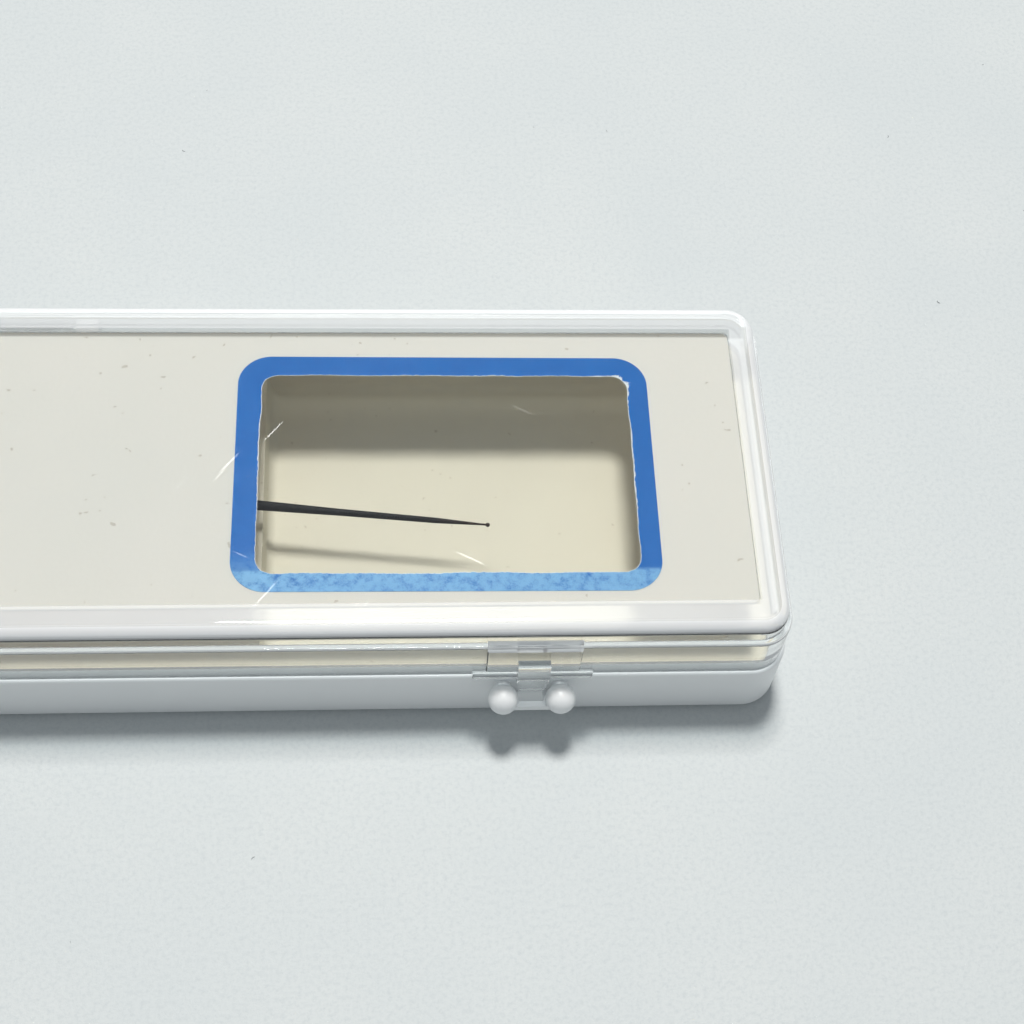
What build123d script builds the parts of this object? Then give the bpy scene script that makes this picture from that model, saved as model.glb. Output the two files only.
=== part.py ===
"""A long clear-lidded instrument case that holds a black ball-tipped micro probe.

The frame: millimetres, +Z up, +X along the case, +Y towards the hinge.
The origin is the middle of the case's underside.
The case is closed at rest, with the probe lying in two foam saddles inside.
"""

import os
from math import cos, radians, sin, tan

from build123d import *

os.makedirs("parts", exist_ok=True)


# ---------------------------------------------------------------- driving dimensions
# Base tray
case_length = 200.0
case_depth = 51.0
base_height = 10.0
base_wall = 1.8
base_floor = 1.6
case_corner = 4.8  # plan radius of the base's corners
base_foot_round = 1.2
rim_round = 0.35
lip_height = 1.8  # inner lip that the lid's skirt drops over
lip_setback = 1.1  # from the base's outer wall to the lip's outer face

# Lid
lid_inset = 0.4  # the skirt stands back from the base's outer wall
skirt_height = 7.0
skirt_wall = 1.5
crown_height = 3.1  # raised top panel above the skirt's ledge
ledge_width = 0.7
crown_wall = 1.5
crown_round = 1.7
lid_top = 1.5
ledge_round = 0.3
lip_clearance = 0.15

# Window card and its blue-bordered label, in a shallow recess under the lid's top
card_end_gap = 3.7  # crown's edge to the card's edge, at the ends
card_side_gap = 4.1  # and along the sides
card_thickness = 0.35
card_corner = 0.8
recess_clearance = 0.1
label_length = 53.0
label_depth = 34.7
label_thickness = 0.1
label_corner = 4.3
label_from_right = 43.0  # case's right end to the label's centre
label_y = -0.8
label_turn = -0.3  # degrees, as stuck by hand
window_length = 47.3
window_depth = 29.2
window_corner = 2.2
window_shift_x = 0.2  # label's centre to the window's centre
window_shift_y = -0.2

# Hinge at the middle of the back edge
hinge_barrel_radius = 1.9
hinge_pin_radius = 0.75
hinge_lug_width = 16.0
hinge_ear_width = 3.0
hinge_end_play = 0.2
hinge_wall_gap = 0.2  # barrel to the base's back wall
hinge_running_clearance = 0.05
hinge_arm_lift = 0.1  # the lid's arm stands clear of the rim

# Ball latches on the front edge
latch_from_end = 32.4
ball_radius = 1.9
ball_spacing = 7.15
ball_wall_gap = 0.2
ball_height = 7.9
ball_neck_radius = 1.0
loop_bottom = 5.3
loop_thickness = 1.0
loop_bar = 0.75  # depth of the loop's front bar
loop_reach = 2.4  # wall to the bar's front face
loop_arm = 2.0
loop_corner = 0.6
latch_plate_width = 11.7
latch_plate_thickness = 0.3
latch_plate_round = 0.25
latch_foot_width = 1.6
latch_foot_height = 1.1
latch_foot_reach = 0.75  # skirt to the foot's front face
tongue_top_width = 4.0
tongue_tip_width = 3.0
tongue_thickness = 0.85
tongue_wall_gap = 0.15
tongue_top = 14.2
tongue_bottom = 8.0

# Inner tray: a thin cream moulding whose pan has a well at the right and a shelf at the left
tray_gap = 0.1
tray_sheet = 0.5
tray_rim_height = 11.2  # top of its flange above the case's underside
flange_end = 4.1  # flange width at the ends
flange_side = 2.85  # and along the sides
pan_corner = 4.0
pan_draft = 2.0  # degrees, walls
pan_foot_round = 1.3
well_floor_height = 5.5
well_length = 59.5
step_draft = 8.0  # degrees

# Foam saddles on the shelf
saddle_length = 9.0
saddle_depth = 18.0
saddle_height = 5.9
saddle_floor = 0.48  # foam left under the handle
saddle_round = 1.0
front_saddle_from_shoulder = 22.0  # handle's front shoulder to the first saddle's middle
saddle_spread = 52.0
saddle_clearance = 0.12

# Probe; distances along it are from its tip
probe_axis_height = 12.6
probe_slant = 6.05  # degrees, tip towards the front
probe_tip_from_right = 37.1
probe_tip_y = -5.6
tip_ball_radius = 0.28
tip_neck_radius = 0.13
tip_neck_length = 0.6
shank_radius = 0.8
shaft_taper = [(6.8, 0.36), (18.8, 0.45), (30.0, 0.65), (36.0, shank_radius)]
nut_start = 38.0
nut_length = 13.0
nut_radius = 3.2
nut_nose_radius = 1.8
nut_nose_length = 4.0
nut_wall = 0.65
nut_flutes = 20
nut_flute_radius = 0.32
collet_nose_radius = 1.25
collet_radius = 1.9
collet_length = 16.0
collet_cone = 3.0
collet_slot = 0.3
collet_slot_depth = 9.0
handle_length = 88.0
handle_radius = 3.0
handle_edge = 0.3
shank_in_handle = 6.0
grip_grooves = 9
grip_groove_width = 0.8
grip_groove_pitch = 1.7
grip_groove_depth = 0.25
grip_groove_start = 4.0  # from the handle's front shoulder
cap_length = 7.0
cap_radius = 3.2
cap_round = 1.4
cap_plug_radius = 2.0
cap_plug_length = 5.0
sliding_fit = 0.02
thread_clearance = 0.08
nut_end_play = 0.16


# ---------------------------------------------------------------- derived places
lid_base = base_height
ledge_z = base_height + skirt_height
case_height = ledge_z + crown_height
base_front_y = -case_depth / 2
base_back_y = case_depth / 2
skirt_length = case_length - 2 * lid_inset
skirt_depth = case_depth - 2 * lid_inset
skirt_corner = case_corner - lid_inset
crown_length = skirt_length - 2 * ledge_width
crown_depth = skirt_depth - 2 * ledge_width
crown_corner = skirt_corner - ledge_width
hinge_y = base_back_y + hinge_wall_gap + hinge_barrel_radius
hinge_z = base_height
latch_x = case_length / 2 - latch_from_end
ball_y = base_front_y - ball_wall_gap - ball_radius
card_length = crown_length - 2 * card_end_gap
card_depth = crown_depth - 2 * card_side_gap
card_recess = card_thickness + label_thickness
card_top = case_height - lid_top - label_thickness
label_x = case_length / 2 - label_from_right
label_plane = Plane.XY.move(Location((label_x, label_y, 0), (0, 0, label_turn)))
window_plane = label_plane.move(Location((window_shift_x, window_shift_y, 0)))


# ---------------------------------------------------------------- base tray
cavity_length = case_length - 2 * base_wall
cavity_depth = case_depth - 2 * base_wall
cavity_corner = case_corner - base_wall

with BuildPart() as base_tray:
    with BuildSketch():
        RectangleRounded(case_length, case_depth, case_corner)
    extrude(amount=base_height)
    fillet(base_tray.edges().group_by(Axis.Z)[0], base_foot_round)
    fillet(base_tray.edges().group_by(Axis.Z)[-1], rim_round)
    with BuildSketch(Plane.XY.offset(base_height - rim_round)):
        RectangleRounded(
            case_length - 2 * lip_setback,
            case_depth - 2 * lip_setback,
            case_corner - lip_setback,
        )
    extrude(amount=rim_round + lip_height)
    with BuildSketch(Plane.XY.offset(base_floor)):
        RectangleRounded(cavity_length, cavity_depth, cavity_corner)
    extrude(amount=base_height + lip_height, mode=Mode.SUBTRACT)

    # Two ball studs, with a loop beneath them, make each latch.
    loop_width = ball_spacing - 2 * ball_neck_radius + loop_arm
    hole_width = loop_width - 2 * loop_arm
    hole_depth = loop_reach - loop_bar
    for side in (-1, 1):
        with BuildSketch(Plane.XY.offset(loop_bottom)):
            with Locations((side * latch_x, base_front_y + base_wall / 4 - loop_reach / 2)):
                RectangleRounded(loop_width, loop_reach + base_wall / 2, loop_corner)
            with Locations((side * latch_x, base_front_y - hole_depth / 2)):
                Rectangle(hole_width, hole_depth, mode=Mode.SUBTRACT)
        extrude(amount=loop_thickness)
        for offset in (-ball_spacing / 2, ball_spacing / 2):
            with BuildSketch(Plane.XZ.offset(-ball_y)):
                with Locations((side * latch_x + offset, ball_height)):
                    Circle(ball_neck_radius)
            extrude(amount=-(ball_radius + ball_wall_gap + base_wall / 2))
            with Locations((side * latch_x + offset, ball_y, ball_height)):
                Sphere(ball_radius, rotation=(90, 0, 0))

    # Hinge ears, one each side of the lid's lug.
    gusset = hinge_barrel_radius * sin(radians(45))
    ear_start = hinge_lug_width / 2 + hinge_end_play
    for side in (-1, 1):
        with BuildSketch(Plane.YZ.offset(side * ear_start)):
            with Locations((hinge_y, hinge_z)):
                Circle(hinge_barrel_radius)
            wall_y = base_back_y - base_wall / 4
            reach = hinge_y + gusset - wall_y
            with BuildLine():
                Polyline(
                    (wall_y, hinge_z - gusset - reach),
                    (wall_y, hinge_z),
                    (hinge_y, hinge_z),
                    (hinge_y + gusset, hinge_z - gusset),
                    close=True,
                )
            make_face()
            with Locations((hinge_y, hinge_z)):
                Circle(hinge_pin_radius, mode=Mode.SUBTRACT)
        extrude(amount=side * hinge_ear_width)
base_tray.part.label = "base_tray"
export_step(base_tray.part, "parts/base_tray.step")


# ---------------------------------------------------------------- hinge pin
pin_length = hinge_lug_width + 2 * (hinge_end_play + hinge_ear_width)
with BuildPart() as hinge_pin:
    with Locations((0, hinge_y, hinge_z)):
        Cylinder(hinge_pin_radius, pin_length, rotation=(0, 90, 0))
    chamfer(hinge_pin.edges().filter_by(GeomType.CIRCLE), hinge_pin_radius / 5)
hinge_pin.part.label = "hinge_pin"
export_step(hinge_pin.part, "parts/hinge_pin.step")


# ---------------------------------------------------------------- lid
with BuildPart() as lid:
    with BuildSketch(Plane.XY.offset(lid_base)):
        RectangleRounded(skirt_length, skirt_depth, skirt_corner)
    extrude(amount=skirt_height)
    fillet(lid.edges().group_by(Axis.Z)[-1], ledge_round)
    with BuildSketch(Plane.XY.offset(ledge_z - ledge_round)):
        RectangleRounded(crown_length, crown_depth, crown_corner)
    extrude(amount=crown_height + ledge_round)
    fillet(lid.edges().group_by(Axis.Z)[-1], crown_round)

    # Latch plates and tongues stand out from the front of the skirt.
    plate_front = -skirt_depth / 2 - latch_plate_thickness
    plate_bottom = lid_base + lip_clearance
    crown_front = -crown_depth / 2
    tongue_front = base_front_y - tongue_wall_gap - tongue_thickness
    for side in (-1, 1):
        with BuildSketch(Plane.YZ.offset(side * latch_x - latch_plate_width / 2)):
            with BuildLine():
                Polyline(
                    (crown_front + crown_wall / 2, ledge_z + crown_height / 5),
                    (crown_front, ledge_z + crown_height / 5),
                    (plate_front, ledge_z - ledge_round * 2),
                    (plate_front, plate_bottom),
                    (crown_front + crown_wall / 2, plate_bottom),
                    close=True,
                )
            make_face()
        extrude(amount=latch_plate_width)
        plate_edges = lid.edges().filter_by(Axis.Z).filter_by_position(
            Axis.Y, plate_front - 0.01, plate_front + 0.01
        )
        fillet(plate_edges.filter_by_position(
            Axis.X, side * latch_x - latch_plate_width, side * latch_x + latch_plate_width
        ), latch_plate_round)
        # A low rib along the plate's foot flares out past both its sides.
        foot_span = latch_plate_width + 2 * latch_foot_width
        foot_back = -skirt_depth / 2 + skirt_wall / 2
        foot_front = -skirt_depth / 2 - latch_foot_reach
        with BuildSketch(Plane.XY.offset(plate_bottom)):
            with Locations((side * latch_x, (foot_front + foot_back) / 2)):
                RectangleRounded(foot_span, foot_back - foot_front, latch_plate_round)
        extrude(amount=latch_foot_height)
        with BuildSketch(Plane.XZ.offset(-tongue_front)):
            with BuildLine():
                Polyline(
                    (side * latch_x - tongue_top_width / 2, tongue_top),
                    (side * latch_x + tongue_top_width / 2, tongue_top),
                    (side * latch_x + tongue_top_width / 2, lid_base + 1),
                    (side * latch_x + tongue_tip_width / 2, tongue_bottom),
                    (side * latch_x - tongue_tip_width / 2, tongue_bottom),
                    (side * latch_x - tongue_top_width / 2, lid_base + 1),
                    close=True,
                )
            make_face()
        extrude(amount=-tongue_thickness)
        with BuildSketch(Plane.XZ.offset(-tongue_front)):
            with Locations((side * latch_x, (tongue_top + lid_base + lip_clearance) / 2)):
                Rectangle(tongue_top_width, tongue_top - lid_base - lip_clearance)
        extrude(amount=-(skirt_wall / 2 - tongue_front - skirt_depth / 2))

    # Hinge lug: an arm over the rim and a barrel round the pin.
    with BuildSketch(Plane.YZ.offset(-hinge_lug_width / 2)):
        with Locations((hinge_y, hinge_z)):
            Circle(hinge_barrel_radius)
        arm_start = skirt_depth / 2 - skirt_wall / 4
        arm_height = hinge_barrel_radius - hinge_arm_lift
        with Locations(((arm_start + hinge_y) / 2, hinge_z + hinge_arm_lift + arm_height / 2)):
            Rectangle(hinge_y - arm_start, arm_height)
        with Locations((hinge_y, hinge_z)):
            Circle(hinge_pin_radius + hinge_running_clearance, mode=Mode.SUBTRACT)
    extrude(amount=hinge_lug_width)

    # Hollow inside: skirt, crown, the rebate over the lip and the card's recess.
    with BuildSketch(Plane.XY.offset(lid_base)):
        RectangleRounded(
            skirt_length - 2 * skirt_wall,
            skirt_depth - 2 * skirt_wall,
            skirt_corner - skirt_wall,
        )
    extrude(amount=skirt_height - skirt_wall / 2, mode=Mode.SUBTRACT)
    with BuildSketch(Plane.XY.offset(lid_base)):
        RectangleRounded(
            crown_length - 2 * crown_wall,
            crown_depth - 2 * crown_wall,
            crown_corner - crown_wall,
        )
    extrude(amount=case_height - lid_top - card_recess - lid_base, mode=Mode.SUBTRACT)
    with BuildSketch(Plane.XY.offset(lid_base)):
        RectangleRounded(
            case_length - 2 * (lip_setback - lip_clearance),
            case_depth - 2 * (lip_setback - lip_clearance),
            case_corner - lip_setback + lip_clearance,
        )
    extrude(amount=lip_height + lip_clearance, mode=Mode.SUBTRACT)
    with BuildSketch(Plane.XY.offset(lid_base)):
        RectangleRounded(
            card_length + 2 * recess_clearance,
            card_depth + 2 * recess_clearance,
            card_corner,
        )
    extrude(amount=case_height - lid_top - lid_base, mode=Mode.SUBTRACT)
lid.part.label = "lid"
export_step(lid.part, "parts/lid.step")


# ---------------------------------------------------------------- window card and label
with BuildPart() as window_card:
    with BuildSketch(Plane.XY.offset(card_top - card_thickness)):
        RectangleRounded(card_length, card_depth, card_corner)
    extrude(amount=card_thickness)
    with BuildSketch(window_plane.offset(card_top - card_thickness)):
        RectangleRounded(window_length, window_depth, window_corner)
    extrude(amount=card_thickness, mode=Mode.SUBTRACT)
window_card.part.label = "window_card"
export_step(window_card.part, "parts/window_card.step")

with BuildPart() as window_label:
    with BuildSketch(label_plane.offset(card_top)):
        RectangleRounded(label_length, label_depth, label_corner)
    extrude(amount=label_thickness)
    with BuildSketch(window_plane.offset(card_top)):
        RectangleRounded(window_length, window_depth, window_corner)
    extrude(amount=label_thickness, mode=Mode.SUBTRACT)
window_label.part.label = "window_label"
export_step(window_label.part, "parts/window_label.step")


# ---------------------------------------------------------------- inner tray
rim_length = cavity_length - 2 * tray_gap
rim_depth = cavity_depth - 2 * tray_gap
rim_corner = cavity_corner - tray_gap
pan_length = rim_length - 2 * flange_end
pan_depth = rim_depth - 2 * flange_side
pan_height = tray_rim_height - well_floor_height
shelf_height = probe_axis_height - handle_radius - saddle_clearance - saddle_floor
pan_floor_length = pan_length - 2 * pan_height * tan(radians(pan_draft))
step_foot_x = pan_floor_length / 2 - well_length
step_top_x = step_foot_x - (shelf_height - well_floor_height) * tan(radians(step_draft))

# The air inside the pan.
with BuildPart() as pan_space:
    with BuildSketch(Plane.XY.offset(tray_rim_height)):
        RectangleRounded(pan_length, pan_depth, pan_corner)
    extrude(amount=-pan_height, taper=pan_draft)
    with BuildSketch(Plane.XZ):
        with BuildLine():
            Polyline(
                (-case_length / 2, well_floor_height),
                (step_foot_x, well_floor_height),
                (step_top_x, shelf_height),
                (-case_length / 2, shelf_height),
                close=True,
            )
        make_face()
    extrude(amount=case_depth / 2, both=True, mode=Mode.SUBTRACT)
    well_floor = pan_space.faces().sort_by(Axis.Z)[0]
    fillet(well_floor.edges(), pan_foot_round)

# The air under the moulding: inside its outer skirt and round its pan.
with BuildPart() as under_space:
    with BuildSketch(Plane.XY.offset(base_floor)):
        RectangleRounded(
            rim_length - 2 * tray_sheet, rim_depth - 2 * tray_sheet, rim_corner - tray_sheet
        )
    extrude(amount=tray_rim_height - tray_sheet - base_floor)
    with BuildSketch(Plane.XY.offset(tray_rim_height)):
        RectangleRounded(
            pan_length + 2 * tray_sheet, pan_depth + 2 * tray_sheet, pan_corner + tray_sheet
        )
    extrude(amount=-(pan_height + tray_sheet), taper=pan_draft, mode=Mode.SUBTRACT)
    with BuildSketch(Plane.XZ):
        with BuildLine():
            Polyline(
                (-rim_length / 2 + tray_sheet, base_floor),
                (step_foot_x - tray_sheet, base_floor),
                (step_foot_x - tray_sheet, well_floor_height - tray_sheet),
                (step_top_x - tray_sheet, shelf_height - tray_sheet),
                (-rim_length / 2 + tray_sheet, shelf_height - tray_sheet),
                close=True,
            )
        make_face()
    extrude(amount=rim_depth / 2 - tray_sheet, both=True)

with BuildPart() as inner_tray:
    with BuildSketch(Plane.XY.offset(base_floor)):
        RectangleRounded(rim_length, rim_depth, rim_corner)
    extrude(amount=tray_rim_height - base_floor)
    add(under_space.part, mode=Mode.SUBTRACT)
    add(pan_space.part, mode=Mode.SUBTRACT)
inner_tray.part.label = "inner_tray"
export_step(inner_tray.part, "parts/inner_tray.step")


# ---------------------------------------------------------------- probe frame
tip_x = case_length / 2 - probe_tip_from_right
slant = radians(probe_slant)
probe_back = Vector(-cos(slant), sin(slant), 0)
probe_tip = Vector(tip_x, probe_tip_y, probe_axis_height)
probe_axis = Axis(probe_tip, probe_back)
# On this plane local X is the distance from the probe's axis, and local Y runs back from the tip.
profile_plane = Plane(origin=probe_tip, x_dir=(0, 0, 1), z_dir=Vector(0, 0, 1).cross(probe_back))

nut_end = nut_start + nut_length
shoulder = nut_end + nut_end_play  # handle's front shoulder
handle_end = shoulder + handle_length
cap_end = handle_end + cap_length
collet_start = nut_start + nut_wall
collet_end = collet_start + collet_length
shank_end = collet_end + shank_in_handle
spigot_start = nut_start + nut_nose_length + 2 * nut_wall
spigot_radius = nut_radius - nut_wall - thread_clearance


def across(distance):
    """The plane square across the probe, a distance back from its tip."""
    return Plane(origin=probe_tip + probe_back * distance, x_dir=(0, 0, 1), z_dir=probe_back)


def outline(*stations):
    """Turns (distance, radius) stations into points of the profile plane."""
    return [(radius, distance) for distance, radius in stations]


# ---------------------------------------------------------------- probe shaft
neck_from_centre = (tip_ball_radius**2 - tip_neck_radius**2) ** 0.5
neck_start = tip_ball_radius + neck_from_centre
with BuildPart() as probe_shaft:
    with BuildSketch(profile_plane):
        with BuildLine():
            ThreePointArc(
                (0, 0), (tip_ball_radius, tip_ball_radius), (tip_neck_radius, neck_start)
            )
            Polyline(
                *outline(
                    (neck_start, tip_neck_radius),
                    (neck_start + tip_neck_length, tip_neck_radius),
                    *shaft_taper,
                    (shank_end, shank_radius),
                    (shank_end, 0),
                    (0, 0),
                )
            )
        make_face()
    revolve(axis=probe_axis)
probe_shaft.part.label = "probe_shaft"
export_step(probe_shaft.part, "parts/probe_shaft.step")


# ---------------------------------------------------------------- collet
with BuildPart() as collet:
    with BuildSketch(profile_plane):
        with BuildLine():
            Polyline(
                *outline(
                    (collet_start, shank_radius + sliding_fit),
                    (collet_start, collet_nose_radius),
                    (collet_start + collet_cone, collet_radius),
                    (collet_end, collet_radius),
                    (collet_end, shank_radius + sliding_fit),
                ),
                close=True,
            )
        make_face()
    revolve(axis=probe_axis)
    with BuildSketch(across(collet_start)):
        Rectangle(2 * handle_radius, collet_slot)
        Rectangle(collet_slot, 2 * handle_radius)
    extrude(amount=collet_slot_depth, mode=Mode.SUBTRACT)
collet.part.label = "collet"
export_step(collet.part, "parts/collet.step")


# ---------------------------------------------------------------- collet nut
with BuildPart() as collet_nut:
    with BuildSketch(profile_plane):
        with BuildLine():
            Polyline(
                *outline(
                    (nut_start, collet_nose_radius),
                    (nut_start, nut_nose_radius),
                    (nut_start + nut_nose_length, nut_radius),
                    (nut_end, nut_radius),
                    (nut_end, nut_radius - nut_wall),
                    (spigot_start - nut_wall / 2, nut_radius - nut_wall),
                    (spigot_start - nut_wall / 2, collet_radius + thread_clearance),
                    (collet_start + collet_cone, collet_radius + thread_clearance),
                    (collet_start - thread_clearance, collet_nose_radius + thread_clearance),
                    (collet_start - thread_clearance, collet_nose_radius),
                ),
                close=True,
            )
        make_face()
    revolve(axis=probe_axis)
    with BuildSketch(across(nut_start + nut_nose_length + nut_wall)):
        with PolarLocations(nut_radius, nut_flutes):
            Circle(nut_flute_radius)
    extrude(amount=nut_length - nut_nose_length - 2 * nut_wall, mode=Mode.SUBTRACT)
collet_nut.part.label = "collet_nut"
export_step(collet_nut.part, "parts/collet_nut.step")


# ---------------------------------------------------------------- handle
with BuildPart() as handle:
    with BuildSketch(profile_plane):
        with BuildLine():
            Polyline(
                *outline(
                    (spigot_start, collet_radius + sliding_fit),
                    (spigot_start, spigot_radius),
                    (shoulder, spigot_radius),
                    (shoulder, handle_radius - handle_edge),
                    (shoulder + handle_edge, handle_radius),
                    (handle_end - handle_edge, handle_radius),
                    (handle_end, handle_radius - handle_edge),
                    (handle_end, cap_plug_radius + sliding_fit),
                    (handle_end - cap_plug_length, cap_plug_radius + sliding_fit),
                    (handle_end - cap_plug_length, 0),
                    (shank_end, 0),
                    (shank_end, shank_radius + sliding_fit),
                    (collet_end, shank_radius + sliding_fit),
                    (collet_end, collet_radius + sliding_fit),
                ),
                close=True,
            )
        make_face()
        for groove in range(grip_grooves):
            middle = shoulder + grip_groove_start + groove * grip_groove_pitch
            with Locations((handle_radius, middle)):
                Rectangle(2 * grip_groove_depth, grip_groove_width, mode=Mode.SUBTRACT)
    revolve(axis=probe_axis)
handle.part.label = "handle"
export_step(handle.part, "parts/handle.step")

with BuildPart() as end_cap:
    with BuildSketch(profile_plane):
        with BuildLine():
            Polyline(
                *outline(
                    (handle_end - cap_plug_length, 0),
                    (handle_end - cap_plug_length, cap_plug_radius),
                    (handle_end, cap_plug_radius),
                    (handle_end, cap_radius),
                    (cap_end, cap_radius),
                    (cap_end, 0),
                ),
                close=True,
            )
        make_face()
    revolve(axis=probe_axis)
    rim = end_cap.edges().filter_by(GeomType.CIRCLE).sort_by(probe_axis)[-1]
    fillet(rim, cap_round)
end_cap.part.label = "end_cap"
export_step(end_cap.part, "parts/end_cap.step")


# ---------------------------------------------------------------- foam saddles
saddle_top = shelf_height + saddle_height
slot_radius = handle_radius + saddle_clearance
slot_rise = saddle_top - probe_axis_height
front_distance = shoulder + front_saddle_from_shoulder
rear_distance = front_distance + saddle_spread

with BuildPart() as front_saddle:
    front_middle = probe_tip + probe_back * front_distance
    with BuildSketch(Plane.XY.offset(shelf_height)):
        with Locations((front_middle.X, front_middle.Y)):
            RectangleRounded(saddle_length, saddle_depth, saddle_round)
    extrude(amount=saddle_height)
    with BuildSketch(across(front_distance - saddle_length)):
        Circle(slot_radius)
        with Locations((slot_rise, 0)):
            Rectangle(2 * slot_rise, 2 * slot_radius)
    extrude(amount=2 * saddle_length, mode=Mode.SUBTRACT)
front_saddle.part.label = "front_saddle"
export_step(front_saddle.part, "parts/front_saddle.step")

with BuildPart() as rear_saddle:
    rear_middle = probe_tip + probe_back * rear_distance
    with BuildSketch(Plane.XY.offset(shelf_height)):
        with Locations((rear_middle.X, rear_middle.Y)):
            RectangleRounded(saddle_length, saddle_depth, saddle_round)
    extrude(amount=saddle_height)
    with BuildSketch(across(rear_distance - saddle_length)):
        Circle(slot_radius)
        with Locations((slot_rise, 0)):
            Rectangle(2 * slot_rise, 2 * slot_radius)
    extrude(amount=2 * saddle_length, mode=Mode.SUBTRACT)
rear_saddle.part.label = "rear_saddle"
export_step(rear_saddle.part, "parts/rear_saddle.step")
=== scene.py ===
# %% [markdown]
# # A clear-lidded instrument case
#
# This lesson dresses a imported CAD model: a long plastic case with a white base, a clear stepped lid,
# an off-white card under the lid with a window cut in it, and a fine black probe inside.
# The CAD model already fixes every size and every joint, so Blender only adds what CAD leaves out:
# finishes, paper with torn edges, foam, dust and light.
# Everything is in metres, in the model's own frame: +X along the case, +Y to the hinge, +Z up.

# %% Load the frame
import math
import random

import bmesh
import bpy
from mathutils import Matrix, Vector, noise


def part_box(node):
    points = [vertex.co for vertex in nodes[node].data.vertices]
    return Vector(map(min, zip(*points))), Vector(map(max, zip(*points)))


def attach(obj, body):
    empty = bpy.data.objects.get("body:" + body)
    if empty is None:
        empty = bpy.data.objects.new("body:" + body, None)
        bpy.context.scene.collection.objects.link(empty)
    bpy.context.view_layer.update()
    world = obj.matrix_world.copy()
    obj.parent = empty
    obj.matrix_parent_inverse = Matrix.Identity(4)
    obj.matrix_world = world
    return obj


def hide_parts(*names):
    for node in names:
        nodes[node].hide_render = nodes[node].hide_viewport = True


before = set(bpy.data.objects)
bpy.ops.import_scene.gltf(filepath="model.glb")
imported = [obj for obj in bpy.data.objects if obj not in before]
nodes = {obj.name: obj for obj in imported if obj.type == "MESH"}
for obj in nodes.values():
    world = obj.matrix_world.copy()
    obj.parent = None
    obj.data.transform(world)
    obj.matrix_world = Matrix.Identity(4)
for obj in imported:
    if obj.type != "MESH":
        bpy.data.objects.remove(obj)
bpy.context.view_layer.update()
MM = 0.001
random.seed(7)
print("nodes:", sorted(nodes))

# %% [markdown]
# ## Where things are
#
# Every place comes from the frame's own boxes, so the looks follow the model when a size changes.
# The window label and the card are read once here, because several pieces line up with them.

# %% Places read from the frame
label_low, label_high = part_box("window_label")
card_low, card_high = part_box("window_card")
lid_low, lid_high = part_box("lid")
shaft_low, shaft_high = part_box("probe_shaft")
handle_low, handle_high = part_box("handle")
label_middle = (label_low + label_high) / 2
card_centre = ((card_low + card_high) / 2).xy
card_reach = ((card_high - card_low) / 2).xy
crown_foot = lid_high.z - 2.9 * MM
latch_back = lid_low.y + 1.35 * MM  # the latch plates and tongues stand in front of this
probe_tip = Vector((shaft_high.x, shaft_low.y, (shaft_low.z + shaft_high.z) / 2))
print("label middle, mm:", [round(v / MM, 2) for v in label_middle])

# %% [markdown]
# ## Camera
#
# The view looks steeply down on the right half of the case from its front, with a long lens.
# The camera comes first, so that every later choice can be judged in the final picture. The plain
# view transform keeps the label's blue saturated and the whites crisp.

# %% Camera
camera_place = Vector((48.21, -125.19, 217.05)) * MM
camera_turn = (30.89, -3.482, -2.448)  # degrees, about X, Y and Z
camera_lens = 65.095

camera_data = bpy.data.cameras.new("camera")
camera_data.lens = camera_lens
camera_data.sensor_width = 36.0
camera_data.clip_start = 0.01
camera_data.clip_end = 20.0
camera = bpy.data.objects.new("camera", camera_data)
camera.location = camera_place
camera.rotation_euler = [math.radians(a) for a in camera_turn]
bpy.context.collection.objects.link(camera)
bpy.context.scene.camera = camera
bpy.context.scene.view_settings.view_transform = "Standard"
print("camera height, mm:", round(camera_place.z / MM))

# %% [markdown]
# ## Shader arithmetic
#
# A procedural finish is mostly small sums on masks. Written node by node they are hard to read, so
# one small class wraps a socket and lets Python's own operators add the Math nodes.

# %% A socket that can be added and multiplied


class Wire:
    """One output of a shader node that takes part in Python arithmetic."""

    def __init__(self, finish, socket):
        self.finish = finish
        self.socket = socket

    def math(self, operation, first, second, clamp=False):
        return self.finish.node(
            "ShaderNodeMath", {"operation": operation, "use_clamp": clamp}, {0: first, 1: second}
        )

    def __add__(self, other):
        return self.math("ADD", self, other)

    def __radd__(self, other):
        return self.math("ADD", other, self)

    def __sub__(self, other):
        return self.math("SUBTRACT", self, other)

    def __rsub__(self, other):
        return self.math("SUBTRACT", other, self)

    def __mul__(self, other):
        return self.math("MULTIPLY", self, other)

    def __rmul__(self, other):
        return self.math("MULTIPLY", other, self)

    def above(self, other):
        return self.math("GREATER_THAN", self, other)

    def size(self):
        return self.math("ABSOLUTE", self, 0.0)

    def clamped(self):
        return self.math("ADD", self, 0.0, clamp=True)

    def between(self, low, high):
        """0 where this value is at low or under, 1 at high or over, and smooth in between."""
        return self.finish.node(
            "ShaderNodeMapRange",
            {"interpolation_type": "SMOOTHSTEP"},
            {"Value": self, "From Min": low, "From Max": high},
        )


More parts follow.
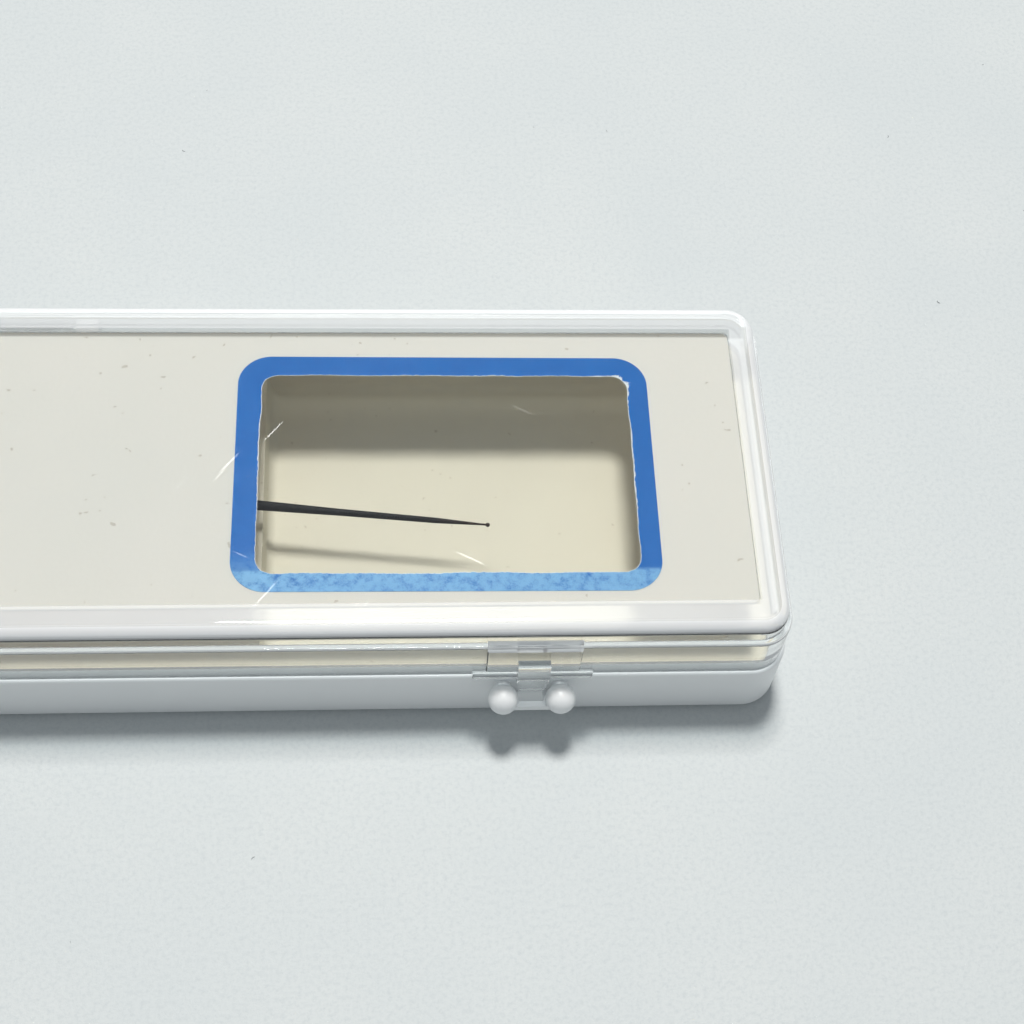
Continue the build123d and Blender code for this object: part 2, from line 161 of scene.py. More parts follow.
class Finish:
    """A material whose nodes are added one call at a time."""

    def __init__(self, name):
        self.material = bpy.data.materials.new(name)
        self.material.use_nodes = True
        self.tree = self.material.node_tree
        self.tree.nodes.clear()
        self.output = self.tree.nodes.new("ShaderNodeOutputMaterial")
        self.places = self.tree.nodes.new("ShaderNodeTexCoord").outputs["Object"]

    def node(self, kind, settings=None, inputs=None, output=0):
        made = self.tree.nodes.new(kind)
        for key, value in (settings or {}).items():
            if key == "stops":
                self.set_stops(made.color_ramp, value)
            else:
                setattr(made, key, value)
        for key, value in (inputs or {}).items():
            self.feed(made.inputs[key], value)
        return Wire(self, made.outputs[output])

    def set_stops(self, ramp, stops):
        while len(ramp.elements) < len(stops):
            ramp.elements.new(0.5)
        for element, (position, colour) in zip(ramp.elements, stops):
            element.position = position
            element.color = (*colour, 1.0)

    def feed(self, socket, value):
        if isinstance(value, Wire):
            self.tree.links.new(value.socket, socket)
        elif isinstance(value, bpy.types.NodeSocket):
            self.tree.links.new(value, socket)
        elif isinstance(value, tuple) and len(value) == 3 and socket.type == "RGBA":
            socket.default_value = (*value, 1.0)
        else:
            socket.default_value = value

    def stretched(self, scale, turn=(0.0, 0.0, 0.0)):
        """Object coordinates, turned and then scaled along each axis."""
        inverse = tuple(1 / share for share in scale)
        return self.node(
            "ShaderNodeMapping",
            {"vector_type": "TEXTURE"},
            {"Vector": self.places, "Scale": inverse, "Rotation": turn},
        )

    def axis(self, vector, letter):
        """One coordinate of a vector."""
        return self.node("ShaderNodeSeparateXYZ", None, {0: vector}, output=letter)

    def grain(self, per_mm, detail=3.0, rough=0.55, where=None, dimensions="3D"):
        """A noise value from 0 to 1, with about per_mm features to the millimetre."""
        vector = self.places if where is None else where
        return self.node(
            "ShaderNodeTexNoise",
            {"noise_dimensions": dimensions},
            {"Vector": vector, "Scale": per_mm / MM, "Detail": detail, "Roughness": rough},
        )

    def blend(self, mask, first, second):
        """Mixes two colours by a mask."""
        return self.node(
            "ShaderNodeMix", {"data_type": "RGBA"}, {0: mask, 6: first, 7: second}, output=2
        )

    def bump(self, height, depth_mm, strength=1.0):
        """A bump whose height of 1 stands depth_mm proud."""
        return self.node(
            "ShaderNodeBump", None, {"Height": height, "Distance": depth_mm * MM, "Strength": strength}
        )

    def principled(self, **inputs):
        named = {key.replace("_", " "): value for key, value in inputs.items()}
        return self.node("ShaderNodeBsdfPrincipled", None, named)

    def done(self, shader):
        self.feed(self.output.inputs["Surface"], shader)
        return self.material


print("shader helpers ready")

# %% [markdown]
# ## The white base
#
# The base is moulded in a bright, slightly milky polystyrene. Real mouldings are never perfectly
# even: the gloss wanders, and a faint orange-peel ripple bends the reflections. A little
# subsurface scattering gives the ball studs their milky look. The ripple is a bump and not a
# mesh, because it is only a few micrometres deep.

# %% Milky white plastic


def white_case_finish():
    f = Finish("milky_white_plastic")
    ripple = f.grain(0.25, 2.0)
    pores = f.grain(6.0, 2.0)
    scuffs = f.grain(0.8, 4.0, 0.7, f.stretched((0.15, 1.0, 1.0), (0.0, 0.0, 0.4))).between(0.56, 0.72)
    colour = f.blend(f.grain(0.05, 2.0), (0.86, 0.88, 0.885), (0.90, 0.915, 0.915))
    height = ripple * 0.6 + pores * 0.05 - scuffs * 0.1
    return f.done(
        f.principled(
            Base_Color=colour,
            Roughness=0.36 + ripple * 0.08 + scuffs * 0.12,
            IOR=1.59,
            Subsurface_Weight=0.3,
            Subsurface_Radius=(1.0, 1.0, 1.0),
            Subsurface_Scale=0.0012,
            Normal=f.bump(height, 0.01),
        )
    )


white_case = white_case_finish()
print("made", white_case.name)

# %% [markdown]
# ## The clear lid
#
# Crystal polystyrene bends light strongly, which draws the bright and dark lines along the lid's
# steps; the brightest of them, on the rounded edges, are also painted in as a pale white highlight.
# True glass in a path tracer keeps lamps from lighting what it covers, unless thousands of
# samples find their way through. So the lid is refracting glass to the eye, and lets lamp light
# straight through: nearly all of it where the lid is level, less through its upright walls, and
# little at its rounded edges, which really bend light aside. Rays that gather soft light go straight
# through too, or they would find the lamp a second time and light the card twice. Handling has left
# fine scratches, which show as roughness.

# %% Clear scratched styrene


def scratch_mask(f, turn, per_mm, thin):
    """Fine straight scratches: the crests of a noise stretched along one direction."""
    lines = f.grain(per_mm, 1.0, 0.4, f.stretched((0.035, 1.0, 1.0), (0.0, 0.0, turn)))
    patches = f.grain(0.06, 2.0, 0.5, f.stretched((1.0, 1.0, 1.0), (0.0, 0.0, turn)))
    return lines.between(thin, thin + 0.03) * patches.between(0.5, 0.62)


def clear_lid_finish():
    f = Finish("clear_styrene")
    scratches = scratch_mask(f, 0.9, 2.6, 0.72) + scratch_mask(f, -0.5, 2.2, 0.73)
    scratches = scratches.clamped()
    ripple = f.grain(0.12, 1.0)
    clear = f.principled(
        Base_Color=(0.965, 0.975, 0.972),
        Roughness=scratches * 0.05,
        IOR=1.59,
        Specular_IOR_Level=0.3,
        Transmission_Weight=1.0,
    )
    # A pale satin border surrounds the card: partly a frosted moulding, partly painted reflected light. Every
    # rounded edge is painted pale white, a painted highlight of the bright bevel.
    facing = f.node("ShaderNodeNewGeometry", None, None, output="True Normal")
    upright = f.axis(facing, "Z").size()
    across = f.axis(f.places, "Y") - card_centre.y
    border = (
        (f.axis(f.places, "X") - card_centre.x).size().between(card_reach.x, card_reach.x + 0.2 * MM)
        + across.size().between(card_reach.y, card_reach.y + 0.2 * MM)
    ).clamped()
    crown = f.axis(f.places, "Z").above(crown_foot)
    edge = upright.between(0.15, 0.35) * (1 - upright.between(0.95, 0.99))
    frost_and_highlight = (border * crown * upright.between(0.2, 0.5) * 0.36 + edge * 0.45).clamped()
    pale = f.principled(
        Base_Color=(0.90, 0.91, 0.92), Roughness=0.4 + ripple * 0.1, IOR=1.59, Normal=f.bump(ripple, 0.01)
    )
    seen = f.node("ShaderNodeMixShader", None, {0: frost_and_highlight, 1: clear, 2: pale})

    # What lamps and soft light meet instead.
    through_top = f.node("ShaderNodeBsdfTransparent", None, {"Color": (0.95, 0.96, 0.96)})
    through_wall = f.node("ShaderNodeBsdfTransparent", None, {"Color": (0.90, 0.915, 0.92)})
    through_edge = f.node("ShaderNodeBsdfTransparent", None, {"Color": (0.24, 0.26, 0.27)})
    walls = 1 - upright.between(0.25, 0.6)
    through_back = f.node("ShaderNodeBsdfTransparent", None, {"Color": (0.22, 0.23, 0.23)})
    back = across.between(card_reach.y - 0.2 * MM, card_reach.y) * crown
    lamp_side = f.node("ShaderNodeMixShader", None, {0: walls, 1: through_top, 2: through_wall})
    latch = 1 - f.axis(f.places, "Y").between(latch_back - 0.1 * MM, latch_back)
    thick = (edge + latch).clamped()
    lamp_side = f.node("ShaderNodeMixShader", None, {0: thick, 1: lamp_side, 2: through_edge})
    lamp_side = f.node("ShaderNodeMixShader", None, {0: back, 1: lamp_side, 2: through_back})
    shadow_ray = f.node("ShaderNodeLightPath", None, None, output="Is Shadow Ray")
    diffuse_ray = f.node("ShaderNodeLightPath", None, None, output="Is Diffuse Ray")
    surface = f.node("ShaderNodeMixShader", None, {0: shadow_ray, 1: seen, 2: lamp_side})
    return f.done(f.node("ShaderNodeMixShader", None, {0: diffuse_ray, 1: surface, 2: through_top}))


clear_lid = clear_lid_finish()
print("made", clear_lid.name)

# %% [markdown]
# ## The cream tray
#
# A thin satin moulding the colour of old ivory. Broad blotches and a fine tooth keep its large flat
# well from looking like a painted plane.

# %% Cream moulding


def cream_tray_finish():
    f = Finish("cream_moulding")
    blotches = f.grain(0.12, 3.0)
    tooth = f.grain(4.0, 3.0)
    specks = f.grain(1.6, 1.0, 0.3).between(0.74, 0.78)
    colour = f.blend(blotches, (0.66, 0.615, 0.49), (0.71, 0.665, 0.53))
    colour = f.blend(specks * 0.5, colour, (0.45, 0.38, 0.27))
    return f.done(
        f.principled(
            Base_Color=colour,
            Roughness=0.58 + tooth * 0.12,
            IOR=1.5,
            Normal=f.bump(tooth * 0.3 + blotches * 0.7, 0.006),
        )
    )


cream_tray = cream_tray_finish()
print("made", cream_tray.name)

# %% [markdown]
# ## Card and label paper
#
# The card is plain off-white board with a felt-like tooth and the odd dark fibre. The label is glossy blue
# ink on white paper, with a mottled sheen painted into the ink as a lighter blue along its front edge
# and left side, and white again wherever the knife or a tear has opened its edge. One material does both
# inks, because an attribute on the mesh says how much of the print is torn away at each point.

# %% Card stock


def card_finish():
    f = Finish("off_white_card")
    felt = f.grain(1.4, 4.0, 0.6)
    broad = f.grain(0.08, 2.0)
    flecks = f.grain(1.1, 1.0, 0.2).between(0.775, 0.80)
    colour = f.blend(broad, (0.92, 0.94, 0.895), (0.96, 0.97, 0.93))
    colour = f.blend(flecks * 0.5, colour, (0.42, 0.39, 0.33))
    board = f.principled(
        Base_Color=colour, Roughness=0.85, IOR=1.45, Sheen_Weight=0.1, Normal=f.bump(felt, 0.03)
    )
    glow = f.node("ShaderNodeBsdfTranslucent", None, {"Color": (1.0, 0.76, 0.46)})
    return f.done(f.node("ShaderNodeMixShader", None, {0: 0.26, 1: board, 2: glow}))


card_stock = card_finish()
print("made", card_stock.name)

# %% Blue label paper


def label_finish():
    f = Finish("blue_label_paper")
    torn = f.node("ShaderNodeAttribute", {"attribute_name": "torn"}, None, output="Fac")
    fibres = f.grain(5.0, 4.0, 0.7)
    ink = f.blend(f.grain(0.35, 4.0, 0.6), (0.0, 0.105, 0.40), (0.0, 0.14, 0.48))
    # The lighter, mottled blue along the front edge and the left side is a painted sheen: the lamp's
    # reflection on the glossy paper, painted into the ink colour.
    front = 1 - f.axis(f.places, "Y").between(label_low.y + 2.6 * MM, label_low.y + 7 * MM)
    left = 1 - f.axis(f.places, "X").between(label_low.x + 3.6 * MM, label_low.x + 5 * MM)
    strip = 1 - f.axis(f.places, "Y").between(label_low.y + 2.7 * MM, label_low.y + 3.4 * MM)
    patches = f.grain(0.9, 5.0, 0.75)
    painted_sheen = front * (strip * 0.9 + left * 0.35).clamped() * patches.between(0.22, 0.6)
    ink = f.blend(painted_sheen * 0.75, ink, (0.30, 0.60, 0.86))
    white = (torn + fibres * 1.5 - 0.75).between(0.45, 0.7) * torn.above(0.02)
    return f.done(
        f.principled(
            Base_Color=f.blend(white, ink, (0.82, 0.85, 0.86)),
            Roughness=0.18 + white * 0.5 + fibres * 0.08,
            IOR=1.45,
            Specular_IOR_Level=0.05,
            Normal=f.bump(fibres, 0.0012),
        )
    )


blue_label = label_finish()
print("made", blue_label.name)

# %% [markdown]
# ## Foam, metals and dark plastics
#
# The saddles are cream closed-cell foam, whose cells show as a fine Voronoi grain. The handle is
# turned aluminium, so its grain runs round the probe: noise stretched thin along the probe's axis
# does that without any texture image. The probe's shaft is black with fine grey flecks, and a touch
# of brown towards its ball tip is a painted reflection of the cream floor.

# %% Foam


def foam_finish():
    f = Finish("closed_cell_foam")
    cells = f.node(
        "ShaderNodeTexVoronoi", {"feature": "DISTANCE_TO_EDGE"}, {"Vector": f.places, "Scale": 1.6 / MM}
    )
    walls = 1 - cells.between(0.0, 0.25)
    colour = f.blend(f.grain(0.3, 3.0), (0.62, 0.58, 0.47), (0.70, 0.66, 0.55))
    colour = f.blend(walls * 0.4, colour, (0.80, 0.77, 0.68))
    return f.done(
        f.principled(
            Base_Color=colour,
            Roughness=0.9,
            IOR=1.4,
            Sheen_Weight=0.15,
            Normal=f.bump(walls, 0.05),
        )
    )


# %% The probe's finishes
probe_yaw = math.atan2(handle_high.y - probe_tip.y, probe_tip.x - handle_low.x)


def along_probe(f, squeeze):
    """Object coordinates turned to run along the probe and stretched round it."""
    return f.stretched((squeeze, 1.0, 1.0), (0.0, 0.0, probe_yaw))


def black_shaft_finish():
    f = Finish("black_coated_shaft")
    flecks = f.grain(5.0, 3.0, 0.6).between(0.60, 0.72)
    # Brown towards the ball tip is a painted reflection of the cream floor.
    tip_floor_reflection = f.axis(f.places, "X").between(probe_tip.x - 9 * MM, probe_tip.x)
    colour = f.blend(flecks * 0.5, (0.006, 0.006, 0.007), (0.05, 0.05, 0.05))
    colour = f.blend(tip_floor_reflection * 0.6, colour, (0.035, 0.018, 0.008))
    return f.done(
        f.principled(
            Base_Color=colour,
            Roughness=0.5 + flecks * 0.2,
            IOR=1.5,
            Specular_IOR_Level=0.06,
            Normal=f.bump(flecks, 0.004),
        )
    )


def turned_metal_finish(name, colour, rough, metallic, groove_mm):
    f = Finish(name)
    rings = f.grain(14.0, 2.0, 0.5, along_probe(f, 1.0))
    wear = f.grain(0.5, 4.0, 0.65).between(0.52, 0.75)
    lighter = tuple(min(1.0, c * 1.25 + 0.01) for c in colour)
    return f.done(
        f.principled(
            Base_Color=f.blend(wear, colour, lighter),
            Roughness=rough + rings * 0.1 + wear * 0.08,
            Metallic=metallic,
            IOR=1.5,
            Normal=f.bump(rings, groove_mm),
        )
    )


def dark_plastic_finish():
    f = Finish("satin_black_plastic")
    tooth = f.grain(5.0, 3.0)
    rub = f.grain(0.4, 3.0).between(0.5, 0.75)
    return f.done(
        f.principled(
            Base_Color=f.blend(rub, (0.018, 0.018, 0.02), (0.035, 0.035, 0.037)),
            Roughness=0.38 + tooth * 0.15,
            IOR=1.5,
            Normal=f.bump(tooth, 0.01),
        )
    )


foam = foam_finish()
finish_of_node = {
    "base_tray": white_case,
    "lid": clear_lid,
    "inner_tray": cream_tray,
    "probe_shaft": black_shaft_finish(),
    "collet": turned_metal_finish("turned_brass", (0.66, 0.47, 0.20), 0.24, 1.0, 0.003),
    "collet_nut": turned_metal_finish("black_anodised", (0.022, 0.022, 0.025), 0.32, 0.6, 0.003),
    "handle": turned_metal_finish("turned_aluminium", (0.74, 0.75, 0.76), 0.27, 1.0, 0.003),
    "end_cap": dark_plastic_finish(),
    "hinge_pin": turned_metal_finish("drawn_steel", (0.56, 0.57, 0.58), 0.25, 1.0, 0.002),
}
for name, material in finish_of_node.items():
    slots = nodes[name].material_slots
    for slot in slots:
        slot.material = material
    print(name, "wears", material.name, "on", len(slots), "slot")

# %% [markdown]
# ## The window card and its label
#
# Both are flat paper with a window cut by hand, so the outer edges are true and the inner edges
# wander. A modeller could cut them with booleans, but ragged booleans leave long thin faces. Here
# each piece is a ring of radial strips instead: for every direction from the window's middle, one
# point on the inner outline and one on the outer. The ring is clean, and the wander is one line of
# arithmetic.

# %% Outlines seen from a middle point


def rounded_box_distance(x, y, half_x, half_y, corner):
    """How far a point is outside a rounded rectangle about the origin; negative inside."""
    over_x = abs(x) - half_x + corner
    over_y = abs(y) - half_y + corner
    outside = math.hypot(max(over_x, 0.0), max(over_y, 0.0))
    return outside + min(max(over_x, over_y), 0.0) - corner


def reach(angle, start, half_x, half_y, corner):
    """Distance from a start point to a rounded rectangle's outline, along a direction."""
    low, high = 0.0, 2.5 * (half_x + half_y)
    for _ in range(48):
        middle = (low + high) / 2
        x = start[0] + middle * math.cos(angle)
        y = start[1] + middle * math.sin(angle)
        if rounded_box_distance(x, y, half_x, half_y, corner) < 0:
            low = middle
        else:
            high = middle
    return low


def spread_angles(start, half_x, half_y, corner, count):
    """Directions from a start point that are dense at a rounded rectangle's corners."""
    angles = [2 * math.pi * k / count for k in range(count)]
    for side_x in (-1, 1):
        for side_y in (-1, 1):
            for k in range(9):
                turn = math.pi / 2 * k / 8
                x = side_x * (half_x - corner + corner * math.cos(turn)) - start[0]
                y = side_y * (half_y - corner + corner * math.sin(turn)) - start[1]
                angles.append(math.atan2(y, x) % (2 * math.pi))
    return sorted(set(round(a, 6) for a in angles))


print("outline helpers ready")

# %% A flat ring with a wandering inner edge


def wander(place, seed, coarse, fine):
    """A signed wander in metres, from two sizes of noise."""
    at = Vector((place.x / MM, place.y / MM, seed))
    broad = noise.noise(at * 0.22)
    small = noise.noise(at * 1.7 + Vector((5.0, 3.0, 1.0)))
    tiny = noise.noise(at * 6.0)
    return (broad * coarse + small * fine + max(0.0, tiny) * fine * 0.7) * MM


def paper_ring(name, inner_at, outer_at, angles, low, high, steps, seed, coarse, fine, tears=()):
    """A closed flat ring between two outlines, with a torn attribute that is 1 at the cut edge.

    Each tear is a place and a reach: near it, the print has torn back that much further.
    """
    rings = steps + 1
    vertices, torn = [], []
    for height in (high, low):
        for angle in angles:
            inner, outer = inner_at(angle), outer_at(angle)
            inward = (inner - outer).normalized()
            cut = inner + inward * wander(inner, seed, coarse, fine)
            bare = 0.16 * MM
            for middle, span, depth in tears:
                near = max(0.0, 1.0 - (inner - middle).length / span)
                bare += depth * near * (0.6 + noise.noise(Vector((inner.x, inner.y, 0.0)) / MM * 1.3))
            for k in range(rings):
                share = (k / steps) ** 2.2
                place = cut.lerp(outer, share)
                vertices.append((place.x, place.y, height))
                torn.append(max(0.0, 1.0 - (place - cut).length / bare))
    count, layer = len(angles), len(angles) * rings
    faces = []
    for a in range(count):
        b = (a + 1) % count
        for k in range(steps):
            one, two = a * rings + k, b * rings + k
            faces.append((one, one + 1, two + 1, two))
            faces.append((layer + one, layer + two, layer + two + 1, layer + one + 1))
        first, second = a * rings, b * rings
        faces.append((first, second, layer + second, layer + first))
        last_a, last_b = first + steps, second + steps
        faces.append((last_a, layer + last_a, layer + last_b, last_b))
    mesh = bpy.data.meshes.new(name)
    mesh.from_pydata(vertices, [], faces)
    attribute = mesh.attributes.new("torn", "FLOAT", "POINT")
    attribute.data.foreach_set("value", torn)
    piece = bpy.data.objects.new(name, mesh)
    bpy.context.collection.objects.link(piece)
    tidy = bmesh.new()
    tidy.from_mesh(mesh)
    bmesh.ops.recalc_face_normals(tidy, faces=tidy.faces)
    tidy.to_mesh(mesh)
    tidy.free()
    return piece


print("paper ring helper ready")

# %% Sizes of the label, the card and their windows
label_size = Vector((53.0, 34.7)) * MM
label_corner = 4.3 * MM
label_turn = math.radians(-0.3)
label_window = Vector((47.3, 29.2)) * MM
window_corner = 2.2 * MM
window_shift = Vector((0.2, -0.2)) * MM
card_window_extra = 0.35 * MM  # the card's window is cut a little larger than the label's
card_corner = 0.8 * MM

turned = Matrix.Rotation(label_turn, 2)
window_middle = label_middle.xy + turned @ window_shift


def turned_outline(middle, size, corner):
    """An outline about the window's middle, turned with the label."""

    def at(angle):
        start = turned.inverted() @ (window_middle - middle)
        out = reach(angle - label_turn, start, size.x / 2, size.y / 2, corner)
        return window_middle + Vector((math.cos(angle), math.sin(angle))) * out

    return at


def card_outline(angle):
    start = window_middle - card_centre
    out = reach(angle, start, card_reach.x, card_reach.y, card_corner)
    return window_middle + Vector((math.cos(angle), math.sin(angle))) * out


print("window middle, mm:", [round(v / MM, 2) for v in window_middle])

# %% The card
card_window = label_window + Vector((card_window_extra, card_window_extra)) * 2
card_angles = spread_angles(
    window_middle - card_centre, card_reach.x, card_reach.y, card_corner, 900
)
windowed_card = paper_ring(
    "windowed_card",
    turned_outline(window_middle, card_window, window_corner),
    card_outline,
    card_angles,
    card_low.z,
    card_high.z,
    5,
    11.0,
    0.22,
    0.07,
)
windowed_card.data.materials.append(card_stock)
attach(windowed_card, "lid")
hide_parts("window_card")
print("card faces:", len(windowed_card.data.polygons))

# %% The label
label_gap = 0.03 * MM  # air between the label and the lid, so that the two faces never coincide
window_half = label_window / 2
label_tears = (
    (window_middle + turned @ Vector((window_half.x - 1.2 * MM, window_half.y - 0.8 * MM)), 4 * MM, 1.1 * MM),
    (window_middle + turned @ Vector((window_half.x, 1.0 * MM)), 9 * MM, 0.35 * MM),
    (window_middle + turned @ Vector((-window_half.x, 3.0 * MM)), 8 * MM, 0.25 * MM),
)
label_angles = spread_angles(
    window_middle - label_middle.xy, label_size.x / 2, label_size.y / 2, label_corner, 1400
)
cut_label = paper_ring(
    "cut_label",
    turned_outline(window_middle, label_window, window_corner),
    turned_outline(label_middle.xy, label_size, label_corner),
    label_angles,
    label_low.z,
    label_high.z - label_gap,
    8,
    3.0,
    0.16,
    0.09,
    label_tears,
)
cut_label.data.materials.append(blue_label)
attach(cut_label, "lid")
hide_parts("window_label")
print("label faces:", len(cut_label.data.polygons))

# %% [markdown]
# ## Loose fibres and lint
#
# A knife pulls fibres out of paper, and a table gathers lint. Both are the same thing to build: one
# small bent hair, copied at random to some of the points of a guide, each copy turned and sized by
# chance. That is what Geometry Nodes are for. The guide's own attribute says how likely a hair is at
# each point, so the tears in the label are the places with most fibres.

# %% One bent hair


def bent_hair(name, length, thick):
    """A closed three-sided hair with pointed ends, bent sideways and lying on its back."""
    hair = bmesh.new()
    start = hair.verts.new((-length / 2, 0.0, 0.0))
    rings = []
    for share in (0.2, 0.4, 0.6, 0.8):
        x = (share - 0.5) * length
        y = math.sin(share * math.pi) * length * 0.22
        ring = []
        for k in range(3):
            turn = 2 * math.pi * k / 3
            ring.append(hair.verts.new((x, y + thick * math.cos(turn), thick * math.sin(turn))))
        rings.append(ring)
    end = hair.verts.new((length / 2, 0.0, 0.0))
    for k in range(3):
        after = (k + 1) % 3
        hair.faces.new((start, rings[0][k], rings[0][after]))
        for near, far in zip(rings, rings[1:]):
            hair.faces.new((near[k], far[k], far[after], near[after]))
        hair.faces.new((rings[-1][k], end, rings[-1][after]))
    bmesh.ops.recalc_face_normals(hair, faces=hair.faces)
    mesh = bpy.data.meshes.new(name)
    hair.to_mesh(mesh)
    hair.free()
    return bpy.data.objects.new(name, mesh)


print("hair helper ready")

# %% A node tree that scatters hairs


def scatter_tree():
    tree = bpy.data.node_groups.new("scatter_hairs", "GeometryNodeTree")
    face = tree.interface
    face.new_socket("Guide", in_out="INPUT", socket_type="NodeSocketGeometry")
    for label, kind in (
        ("Hair", "NodeSocketObject"),
        ("Chance", "NodeSocketFloat"),
        ("Smallest", "NodeSocketFloat"),
        ("Largest", "NodeSocketFloat"),
        ("Seed", "NodeSocketInt"),
        ("Material", "NodeSocketMaterial"),
    ):
        face.new_socket(label, in_out="INPUT", socket_type=kind)
    face.new_socket("Hairs", in_out="OUTPUT", socket_type="NodeSocketGeometry")

    def add(kind, **settings):
        made = tree.nodes.new(kind)
        for key, value in settings.items():
            setattr(made, key, value)
        return made

    def link(source, target):
        tree.links.new(source, target)

    given = add("NodeGroupInput").outputs
    likely = add("GeometryNodeInputNamedAttribute", data_type="FLOAT")
    likely.inputs["Name"].default_value = "chance"
    odds = add("ShaderNodeMath", operation="MULTIPLY")
    link(given["Chance"], odds.inputs[0])
    link(likely.outputs["Attribute"], odds.inputs[1])
    draw = add("FunctionNodeRandomValue", data_type="BOOLEAN")
    link(odds.outputs[0], draw.inputs["Probability"])
    link(given["Seed"], draw.inputs["Seed"])
    points = add("GeometryNodeMeshToPoints")
    link(given["Guide"], points.inputs["Mesh"])
    link(draw.outputs[3], points.inputs["Selection"])
    model = add("GeometryNodeObjectInfo")
    link(given["Hair"], model.inputs["Object"])
    turn = add("FunctionNodeRandomValue", data_type="FLOAT_VECTOR")
    turn.inputs[0].default_value = (-0.25, -0.25, 0.0)
    turn.inputs[1].default_value = (0.25, 0.25, 6.28)
    link(given["Seed"], turn.inputs["Seed"])
    size = add("FunctionNodeRandomValue", data_type="FLOAT")
    link(given["Smallest"], size.inputs[2])
    link(given["Largest"], size.inputs[3])
    link(given["Seed"], size.inputs["Seed"])
    copies = add("GeometryNodeInstanceOnPoints")
    link(points.outputs[0], copies.inputs["Points"])
    link(model.outputs["Geometry"], copies.inputs["Instance"])
    link(turn.outputs[0], copies.inputs["Rotation"])
    link(size.outputs[1], copies.inputs["Scale"])
    real = add("GeometryNodeRealizeInstances")
    link(copies.outputs[0], real.inputs[0])
    dressed = add("GeometryNodeSetMaterial")
    link(real.outputs[0], dressed.inputs["Geometry"])
    link(given["Material"], dressed.inputs["Material"])
    link(dressed.outputs[0], add("NodeGroupOutput").inputs[0])
    return tree


def scatter(name, guide_points, hair, material, chance, smallest, largest, seed):
    """Hairs at some guide points, each point a place and how likely a hair is there."""
    mesh = bpy.data.meshes.new(name + "_guide")
    mesh.from_pydata([tuple(place) for place, _ in guide_points], [], [])
    mesh.attributes.new("chance", "FLOAT", "POINT").data.foreach_set(
        "value", [likely for _, likely in guide_points]
    )
    piece = bpy.data.objects.new(name, mesh)
    bpy.context.collection.objects.link(piece)
    modifier = piece.modifiers.new("hairs", "NODES")
    modifier.node_group = hair_tree
    values = {
        "Hair": hair,
        "Chance": chance,
        "Smallest": smallest,
        "Largest": largest,
        "Seed": seed,
        "Material": material,
    }
    for item in hair_tree.interface.items_tree:
        if item.in_out == "INPUT" and item.name in values:
            modifier[item.identifier] = values[item.name]
    graph = bpy.context.evaluated_depsgraph_get()
    hairs = bpy.data.meshes.new_from_object(piece.evaluated_get(graph))
    piece.modifiers.clear()
    piece.data = hairs
    hairs.name = name
    return piece


hair_tree = scatter_tree()
print("tree inputs:", [item.name for item in hair_tree.interface.items_tree if item.in_out == "INPUT"])

# %% Paper fibres on the label's cut edge


def fibre_finish():
    f = Finish("paper_fibre")
    shade = f.grain(2.0, 2.0)
    return f.done(
        f.principled(Base_Color=f.blend(shade, (0.70, 0.73, 0.74), (0.86, 0.88, 0.88)), Roughness=0.8)
    )


paper_fibre = fibre_finish()
fibre_guide = []
window_edge = turned_outline(window_middle, label_window, window_corner)
for k in range(900):
    place = window_edge(2 * math.pi * k / 900)
    likely = 0.05
    for middle, span, depth in label_tears:
        near = max(0.0, 1.0 - (place - middle).length / span)
        likely += near * depth / (0.6 * MM)
    fibre_guide.append(((place.x, place.y, label_high.z - 2 * label_gap), likely))
paper_hair = bent_hair("paper_hair", 1.0 * MM, 0.014 * MM)
label_fibres = scatter(
    "label_fibres", fibre_guide, paper_hair, paper_fibre, 0.55, 0.25, 0.75, 4
)
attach(label_fibres, "lid")
print("fibre faces:", len(label_fibres.data.polygons))

# %% [markdown]
# ## Foam saddles
#
# CAD gives each saddle as a block with a round-bottomed slot. Real foam has no sharp edges: the
# knife leaves them soft, and the faces dimple. Voxel remeshing a copy of the CAD block and
# smoothing it rounds every edge at once, and a little noise along the normals dimples the faces.

# %% Soften the saddles
foam_voxel = 0.28 * MM
foam_dimple = 0.05 * MM


def soft_saddle(node_name, piece_name):
    mesh = nodes[node_name].data.copy()
    piece = bpy.data.objects.new(piece_name, mesh)
    bpy.context.collection.objects.link(piece)
    merged = bmesh.new()
    merged.from_mesh(mesh)
    bmesh.ops.remove_doubles(merged, verts=merged.verts, dist=0.001 * MM)
    merged.to_mesh(mesh)
    merged.free()
    remesh = piece.modifiers.new("voxels", "REMESH")
    remesh.mode = "VOXEL"
    remesh.voxel_size = foam_voxel
    smooth = piece.modifiers.new("smooth", "SMOOTH")
    smooth.factor = 0.5
    smooth.iterations = 3
    graph = bpy.context.evaluated_depsgraph_get()
    soft = bpy.data.meshes.new_from_object(piece.evaluated_get(graph))
    piece.modifiers.clear()
    piece.data = soft
    soft.name = piece_name
    for vertex in soft.vertices:
        push = noise.noise(vertex.co / MM * 1.4) - 0.6
        vertex.co += vertex.normal * push * foam_dimple
    soft.materials.clear()
    soft.materials.append(foam)
    soft.shade_smooth()
    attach(piece, "case")
    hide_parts(node_name)
    return piece


for node_name, piece_name in (("front_saddle", "soft_front_saddle"), ("rear_saddle", "soft_rear_saddle")):
    made = soft_saddle(node_name, piece_name)
    print(made.name, "faces:", len(made.data.polygons))

# %% [markdown]
# ## Table and light
#
# The case lies on a pale, cool table under a large soft lamp that hangs almost overhead, a little
# behind it. The lamp's size sets how soft the window's shadow falls on the tray, and its tilt sets
# how far forward it falls.

# %% Table


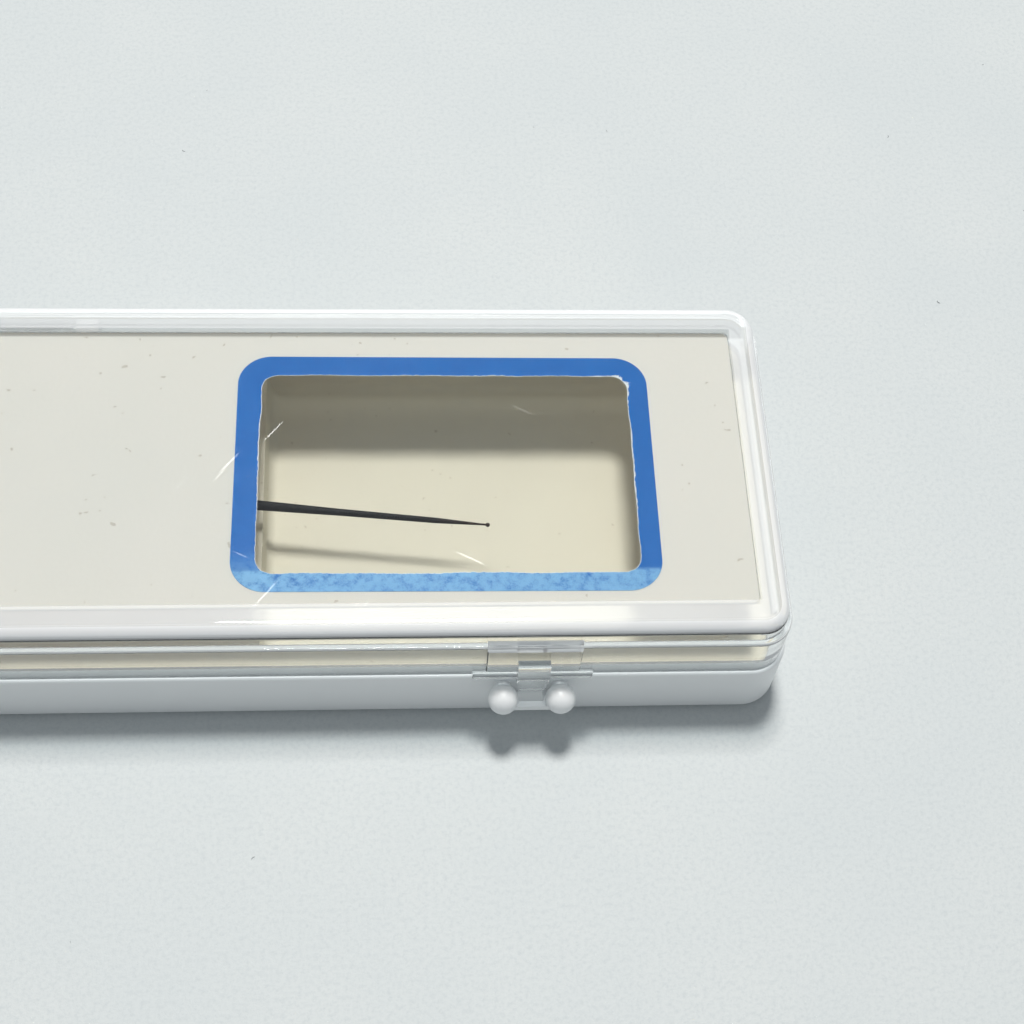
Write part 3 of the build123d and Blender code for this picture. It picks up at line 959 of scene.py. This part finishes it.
def table_finish():
    f = Finish("pale_table")
    speckle = f.grain(1.6, 4.0, 0.7)
    broad = f.grain(0.03, 3.0, 0.6)
    colour = f.blend(broad, (0.58, 0.625, 0.635), (0.665, 0.69, 0.68))
    colour = f.blend(speckle.between(0.4, 0.75) * 0.8, colour, (0.54, 0.58, 0.59))
    return f.done(f.principled(Base_Color=colour, Roughness=0.6, Normal=f.bump(speckle, 0.05)))


table_half = 3.0
table_mesh = bpy.data.meshes.new("table_top")
table_mesh.from_pydata(
    [
        (-table_half, -table_half, 0),
        (table_half, -table_half, 0),
        (table_half, table_half, 0),
        (-table_half, table_half, 0),
    ],
    [],
    [(0, 1, 2, 3)],
)
table_mesh.materials.append(table_finish())
table_top = bpy.data.objects.new("table_top", table_mesh)
bpy.context.collection.objects.link(table_top)
print("table", 2 * table_half, "m wide")

# %% Lint on the table


def lint_finish():
    f = Finish("dark_lint")
    fibre = f.blend(f.grain(1.0, 2.0), (0.05, 0.06, 0.07), (0.22, 0.23, 0.24))
    return f.done(f.principled(Base_Color=fibre, Roughness=0.9))


lint_guide = [
    ((random.uniform(-90, 190) * MM, random.uniform(-75, 90) * MM, 0.06 * MM), 1.0) for _ in range(160)
]
lint_guide = [item for item in lint_guide if not -32 * MM < item[0][1] < 32 * MM or item[0][0] > 104 * MM]
lint_hair = bent_hair("lint_hair", 0.9 * MM, 0.05 * MM)
table_lint = scatter("table_lint", lint_guide, lint_hair, lint_finish(), 0.22, 0.3, 0.8, 9)
print("lint faces:", len(table_lint.data.polygons))

# %% Lamps
lamp_tilt = math.radians(17.0)
lamp_distance = 1.6
lamp_width = 0.31
lamp_power = 22.6
lamp_colour = (1.0, 0.985, 0.96)
room_colour = (0.88, 0.94, 1.0, 1.0)
room_strength = 0.31


def area_lamp(name, place, aim, size, power, colour):
    data = bpy.data.lights.new(name, "AREA")
    data.shape = "DISK"
    data.size = size
    data.energy = power
    data.color = colour
    lamp = bpy.data.objects.new(name, data)
    lamp.location = place
    lamp.rotation_euler = (aim - place).to_track_quat("-Z", "Y").to_euler()
    bpy.context.collection.objects.link(lamp)
    return lamp


aim = Vector((0.05, 0.0, 0.0))
overhead = aim + Vector((0.0, math.sin(lamp_tilt), math.cos(lamp_tilt))) * lamp_distance
area_lamp("key_lamp", overhead, aim, lamp_width, lamp_power, lamp_colour)
world = bpy.data.worlds.new("room")
world.use_nodes = True
room_light = world.node_tree.nodes["Background"]
room_light.inputs["Color"].default_value = room_colour
room_light.inputs["Strength"].default_value = room_strength
bpy.context.scene.world = world
print("lamps lit")
